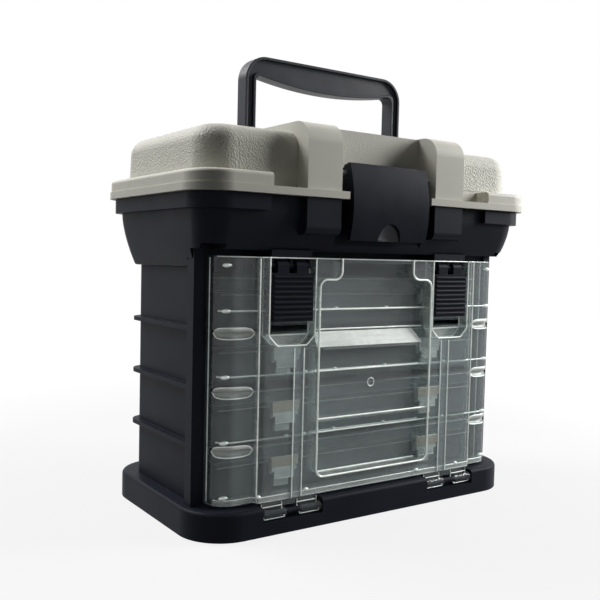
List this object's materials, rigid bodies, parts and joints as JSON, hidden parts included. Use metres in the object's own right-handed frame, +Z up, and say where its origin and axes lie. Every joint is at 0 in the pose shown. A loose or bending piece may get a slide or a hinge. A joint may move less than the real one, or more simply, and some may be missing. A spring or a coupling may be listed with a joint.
{
  "type": "tackle box",
  "caption": "Rack tackle box with sliding clear utility trays behind a clear drop-down door, a storage bin under a hinged lid, snap latches and a folding handle.",
  "frame": {"origin": "on the ground under the middle of the base", "axes": "+Z up, the door and latches face -Y, +X to the viewer's right from the front"},
  "size_m": [0.27, 0.1551, 0.296],
  "materials": {
    "black_plastic": "fine grain",
    "grey_plastic": "leather grain panels, smooth bands",
    "clear_plastic": "clear, polished",
    "cream_plastic": "smooth",
    "steel": "plain"
  },
  "bodies": {
    "box": {"base": "black_plastic", "side_panel_left": "black_plastic", "side_panel_right": "black_plastic", "back_panel": "black_plastic", "storage_bin": "black_plastic", "base_screws": "steel", "bin_screws": "steel", "lid_hinge_pin_left": "steel", "lid_hinge_pin_right": "steel"},
    "lid": {"lid": "grey_plastic", "lid_latch_pin": "steel", "handle_pin_left": "steel", "handle_pin_right": "steel"},
    "lid_latch": {"lid_latch": "black_plastic"},
    "handle": {"handle": "black_plastic"},
    "door": {"door": "clear_plastic"},
    "door_latch_left": {"door_latch_left": "black_plastic"},
    "door_latch_right": {"door_latch_right": "black_plastic"},
    "tray_1": {"tray_1_body": "clear_plastic", "tray_1_lid": "clear_plastic", "tray_1_dividers": "clear_plastic"},
    "tray_1_latch_left": {"tray_1_latch_left": "cream_plastic"},
    "tray_1_latch_right": {"tray_1_latch_right": "cream_plastic"},
    "tray_2": {"tray_2_body": "clear_plastic", "tray_2_lid": "clear_plastic", "tray_2_dividers": "clear_plastic"},
    "tray_2_latch_left": {"tray_2_latch_left": "cream_plastic"},
    "tray_2_latch_right": {"tray_2_latch_right": "cream_plastic"},
    "tray_3": {"tray_3_body": "clear_plastic", "tray_3_lid": "clear_plastic", "tray_3_dividers": "clear_plastic"},
    "tray_3_latch_left": {"tray_3_latch_left": "cream_plastic"},
    "tray_3_latch_right": {"tray_3_latch_right": "cream_plastic"},
    "tray_4": {"tray_4_body": "clear_plastic", "tray_4_lid": "clear_plastic", "tray_4_dividers": "clear_plastic"},
    "tray_4_latch_left": {"tray_4_latch_left": "cream_plastic"},
    "tray_4_latch_right": {"tray_4_latch_right": "cream_plastic"}
  },
  "joints": [
    {"name": "door_hinge", "type": "hinge", "parent": "box", "child": "door", "pos_m": [0, -0.066, 0.012], "axis": [1, 0, 0], "range_deg": [0, 94]},
    {"name": "lid_hinge", "type": "hinge", "parent": "box", "child": "lid", "pos_m": [0, 0.0755, 0.20015], "axis": [-1, 0, 0], "range_deg": [0, 105]},
    {"name": "lid_latch_swing", "type": "hinge", "parent": "lid", "child": "lid_latch", "pos_m": [0, -0.0668, 0.217], "axis": [-1, 0, 0], "range_deg": [0, 80]},
    {"name": "handle_fold", "type": "hinge", "parent": "lid", "child": "handle", "pos_m": [0, 0.0015, 0.2375], "axis": [-1, 0, 0], "range_deg": [0, 90]},
    {"name": "door_latch_left_swing", "type": "hinge", "parent": "box", "child": "door_latch_left", "pos_m": [-0.0653, -0.06, 0.1595], "axis": [-1, 0, 0], "range_deg": [0, 99.7]},
    {"name": "door_latch_right_swing", "type": "hinge", "parent": "box", "child": "door_latch_right", "pos_m": [0.0653, -0.06, 0.1595], "axis": [-1, 0, 0], "range_deg": [0, 99.7]},
    {"name": "tray_1_slide", "type": "slide", "parent": "box", "child": "tray_1", "axis": [0, -1, 0], "range_m": [0, 0.0135]},
    {"name": "tray_1_latch_left_swing", "type": "hinge", "parent": "tray_1", "child": "tray_1_latch_left", "pos_m": [-0.06, -0.0485, 0.039], "axis": [-1, 0, 0], "range_deg": [0, 90]},
    {"name": "tray_1_latch_right_swing", "type": "hinge", "parent": "tray_1", "child": "tray_1_latch_right", "pos_m": [0.06, -0.0485, 0.039], "axis": [-1, 0, 0], "range_deg": [0, 90]},
    {"name": "tray_2_slide", "type": "slide", "parent": "box", "child": "tray_2", "axis": [0, -1, 0], "range_m": [0, 0.0825]},
    {"name": "tray_2_latch_left_swing", "type": "hinge", "parent": "tray_2", "child": "tray_2_latch_left", "pos_m": [-0.06, -0.0485, 0.0736], "axis": [-1, 0, 0], "range_deg": [0, 90]},
    {"name": "tray_2_latch_right_swing", "type": "hinge", "parent": "tray_2", "child": "tray_2_latch_right", "pos_m": [0.06, -0.0485, 0.0736], "axis": [-1, 0, 0], "range_deg": [0, 90]},
    {"name": "tray_3_slide", "type": "slide", "parent": "box", "child": "tray_3", "axis": [0, -1, 0], "range_m": [0, 0.0825]},
    {"name": "tray_3_latch_left_swing", "type": "hinge", "parent": "tray_3", "child": "tray_3_latch_left", "pos_m": [-0.06, -0.0485, 0.1082], "axis": [-1, 0, 0], "range_deg": [0, 90]},
    {"name": "tray_3_latch_right_swing", "type": "hinge", "parent": "tray_3", "child": "tray_3_latch_right", "pos_m": [0.06, -0.0485, 0.1082], "axis": [-1, 0, 0], "range_deg": [0, 90]},
    {"name": "tray_4_slide", "type": "slide", "parent": "box", "child": "tray_4", "axis": [0, -1, 0], "range_m": [0, 0.0375]},
    {"name": "tray_4_latch_left_swing", "type": "hinge", "parent": "tray_4", "child": "tray_4_latch_left", "pos_m": [-0.06, -0.0485, 0.1428], "axis": [-1, 0, 0], "range_deg": [0, 90]},
    {"name": "tray_4_latch_right_swing", "type": "hinge", "parent": "tray_4", "child": "tray_4_latch_right", "pos_m": [0.06, -0.0485, 0.1428], "axis": [-1, 0, 0], "range_deg": [0, 90]}
  ],
  "couplings": [
    {"joint": "door_latch_left_swing", "follows": "door_hinge", "ratio": 1.06},
    {"joint": "door_latch_right_swing", "follows": "door_hinge", "ratio": 1.06},
    {"joint": "tray_1_slide", "follows": "door_hinge", "m_per_rad": 0.008},
    {"joint": "tray_2_slide", "follows": "door_hinge", "m_per_rad": 0.05},
    {"joint": "tray_3_slide", "follows": "door_hinge", "m_per_rad": 0.05},
    {"joint": "tray_4_slide", "follows": "door_hinge", "m_per_rad": 0.0228}
  ]
}
